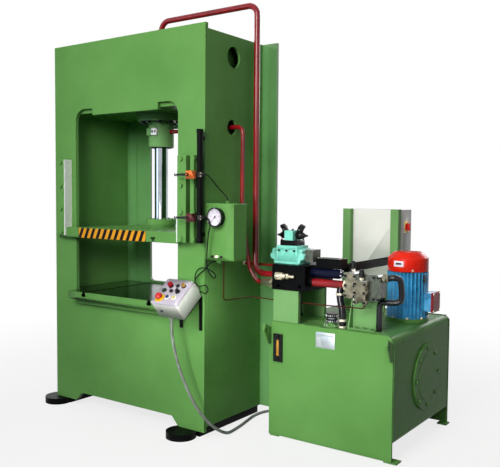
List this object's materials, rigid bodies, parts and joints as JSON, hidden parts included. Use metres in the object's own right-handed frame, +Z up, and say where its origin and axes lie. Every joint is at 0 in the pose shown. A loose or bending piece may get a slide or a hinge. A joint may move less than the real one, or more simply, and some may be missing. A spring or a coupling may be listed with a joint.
{
  "type": "hydraulic press",
  "caption": "Plate-frame hydraulic press with a lifting platen, side guides, push-button box, and an oil tank power pack with valves, motor and switch cabinet.",
  "frame": {"origin": "where the ram's axis meets the top face of the bolster", "axes": "+Z up along the ram's axis, -Y out of the press's front towards the operator, +X to the operator's right, towards the oil tank"},
  "size_m": [2.481, 1.6148, 2.571],
  "materials": {
    "green_paint": "gloss enamel",
    "blackened_steel": "satin black paint",
    "bright_steel": "machined and lightly oiled",
    "hard_chrome": "polished hard chrome",
    "hazard_paint": "yellow and black gloss paint",
    "switch_plastic": "moulded",
    "grey_paint": "light grey satin paint",
    "black_plastic": "moulded",
    "red_plastic": "moulded",
    "dark_red_plastic": "moulded",
    "blue_plastic": "moulded",
    "cream_plastic": "moulded",
    "green_plastic": "moulded",
    "gold_plastic": "moulded",
    "red_pipe_paint": "gloss enamel",
    "turquoise_paint": "gloss enamel",
    "blue_paint": "gloss enamel",
    "red_cowl_paint": "gloss enamel",
    "zinc_plate": "yellowish zinc plating",
    "cable_rubber": "smooth sheath",
    "conduit_grey": "corrugated sheath",
    "black_pipe_paint": "satin enamel"
  },
  "bodies": {
    "frame": {"front_frame_plate": "green_paint", "rear_frame_plate": "green_paint", "side_plates": "green_paint", "inner_frame_plates": "green_paint", "bolster": "green_paint", "guide_rails": "green_paint", "fasteners": "bright_steel", "base_feet": "blackened_steel", "cylinder": "green_paint", "switch_rail": "blackened_steel", "limit_switches": "switch_plastic", "gauge_box": "green_paint", "pressure_gauge": "black_plastic", "upper_switch_cable": "cable_rubber", "lower_switch_cable": "cable_rubber", "pendant_cable": "cable_rubber", "red_pipes": "red_pipe_paint", "gauge_tube": "red_pipe_paint", "pendant_bracket": "blackened_steel", "pendant_box": "grey_paint", "conduit": "conduit_grey", "tank_body": "green_paint", "tank_end_plates": "green_paint", "cleanout_cover": "green_paint", "level_gauge": "black_plastic", "tank_uprights": "green_paint", "manifold": "blackened_steel", "main_valve": "turquoise_paint", "pilot_valve": "turquoise_paint", "pipe_fittings": "zinc_plate", "relief_block": "blackened_steel", "line_filter": "blue_paint", "cable_tray": "blackened_steel", "black_pipes": "black_pipe_paint", "motor_body": "blue_paint", "fan_cover": "red_cowl_paint", "terminal_box": "blue_paint", "cabinet_box": "grey_paint", "pump": "bright_steel"},
    "moving_platen": {"ram": "hard_chrome", "slide": "green_paint", "slide_boss": "green_paint", "hazard_plate": "hazard_paint"},
    "gauge_needle": {"gauge_needle": "black_plastic"},
    "stop_button": {"stop_button": "red_plastic"},
    "return_button": {"return_button": "dark_red_plastic"},
    "blue_button": {"blue_button": "blue_plastic"},
    "cream_button": {"cream_button": "cream_plastic"},
    "green_button": {"green_button": "green_plastic"},
    "black_selector": {"black_selector": "black_plastic"},
    "gold_selector": {"gold_selector": "gold_plastic"},
    "upper_switch_lever": {"upper_switch_lever": "bright_steel"},
    "lower_switch_lever": {"lower_switch_lever": "bright_steel"},
    "relief_knob_a": {"relief_knob_a": "black_plastic"},
    "relief_knob_b": {"relief_knob_b": "black_plastic"},
    "motor_rotor": {"motor_rotor": "bright_steel"},
    "filler_cap": {"filler_cap": "black_plastic"},
    "cabinet_door": {"cabinet_door": "grey_paint"},
    "door_lock": {"door_lock": "black_plastic"},
    "isolator_handle": {"isolator_handle": "red_plastic"}
  },
  "joints": [
    {"name": "press_stroke", "type": "slide", "parent": "frame", "child": "moving_platen", "axis": [0, 0, 1], "range_m": [0, 0.42]},
    {"name": "needle_turn", "type": "hinge", "parent": "frame", "child": "gauge_needle", "pos_m": [0.747, -0.342, 0.509], "axis": [0, 1, 0], "range_deg": [0, 270], "stiffness_Nm_per_rad": 0.002, "springref_deg": -28.65},
    {"name": "stop_press", "type": "slide", "parent": "frame", "child": "stop_button", "axis": [0, 0.6266, -0.7793], "range_m": [0, 0.004]},
    {"name": "return_press", "type": "slide", "parent": "frame", "child": "return_button", "axis": [0, 0.6266, -0.7793], "range_m": [0, 0.004], "stiffness_N_per_m": 500, "springref_m": -0.003},
    {"name": "blue_press", "type": "slide", "parent": "frame", "child": "blue_button", "axis": [0, 0.6266, -0.7793], "range_m": [0, 0.003], "stiffness_N_per_m": 500, "springref_m": -0.003},
    {"name": "cream_press", "type": "slide", "parent": "frame", "child": "cream_button", "axis": [0, 0.6266, -0.7793], "range_m": [0, 0.003], "stiffness_N_per_m": 500, "springref_m": -0.003},
    {"name": "green_press", "type": "slide", "parent": "frame", "child": "green_button", "axis": [0, 0.6266, -0.7793], "range_m": [0, 0.003], "stiffness_N_per_m": 500, "springref_m": -0.003},
    {"name": "black_selector_turn", "type": "hinge", "parent": "frame", "child": "black_selector", "pos_m": [0.578, -0.48962, 0.08541], "axis": [0, -0.6266, 0.7793], "range_deg": [0, 90]},
    {"name": "gold_selector_turn", "type": "hinge", "parent": "frame", "child": "gold_selector", "pos_m": [0.594, -0.45455, 0.1136], "axis": [0, -0.6266, 0.7793], "range_deg": [0, 90]},
    {"name": "upper_lever_swing", "type": "hinge", "parent": "frame", "child": "upper_switch_lever", "pos_m": [0.612, -0.454, 0.747], "axis": [0, 1, 0], "range_deg": [-30, 30], "stiffness_Nm_per_rad": 4},
    {"name": "lower_lever_swing", "type": "hinge", "parent": "frame", "child": "lower_switch_lever", "pos_m": [0.612, -0.454, 0.505], "axis": [0, 1, 0], "range_deg": [-30, 30], "stiffness_Nm_per_rad": 4},
    {"name": "relief_a_turn", "type": "hinge", "parent": "frame", "child": "relief_knob_a", "pos_m": [1.408, 0.035, 0.233], "axis": [0, 0, 1], "range_deg": [-180, 180]},
    {"name": "relief_b_turn", "type": "hinge", "parent": "frame", "child": "relief_knob_b", "pos_m": [1.4875, -0.022, 0.197], "axis": [0, 0, 1], "range_deg": [-180, 180]},
    {"name": "rotor_spin", "type": "hinge", "parent": "frame", "child": "motor_rotor", "pos_m": [1.533, 0.506, 0.009], "axis": [0, 0, 1], "continuous": true},
    {"name": "cap_turn", "type": "hinge", "parent": "frame", "child": "filler_cap", "pos_m": [1.27, 0.053, -0.086], "axis": [0, 0, 1], "range_deg": [0, 90]},
    {"name": "door_swing", "type": "hinge", "parent": "frame", "child": "cabinet_door", "pos_m": [0.917, 1.0213, 0.244], "axis": [0, 0, 1], "range_deg": [0, 110]},
    {"name": "lock_turn", "type": "hinge", "parent": "cabinet_door", "child": "door_lock", "pos_m": [1.3, 1.041, 0.244], "axis": [0, 1, 0], "range_deg": [0, 90]},
    {"name": "isolator_turn", "type": "hinge", "parent": "frame", "child": "isolator_handle", "pos_m": [1.331, 0.95, 0.43], "axis": [1, 0, 0], "range_deg": [0, 90]}
  ]
}
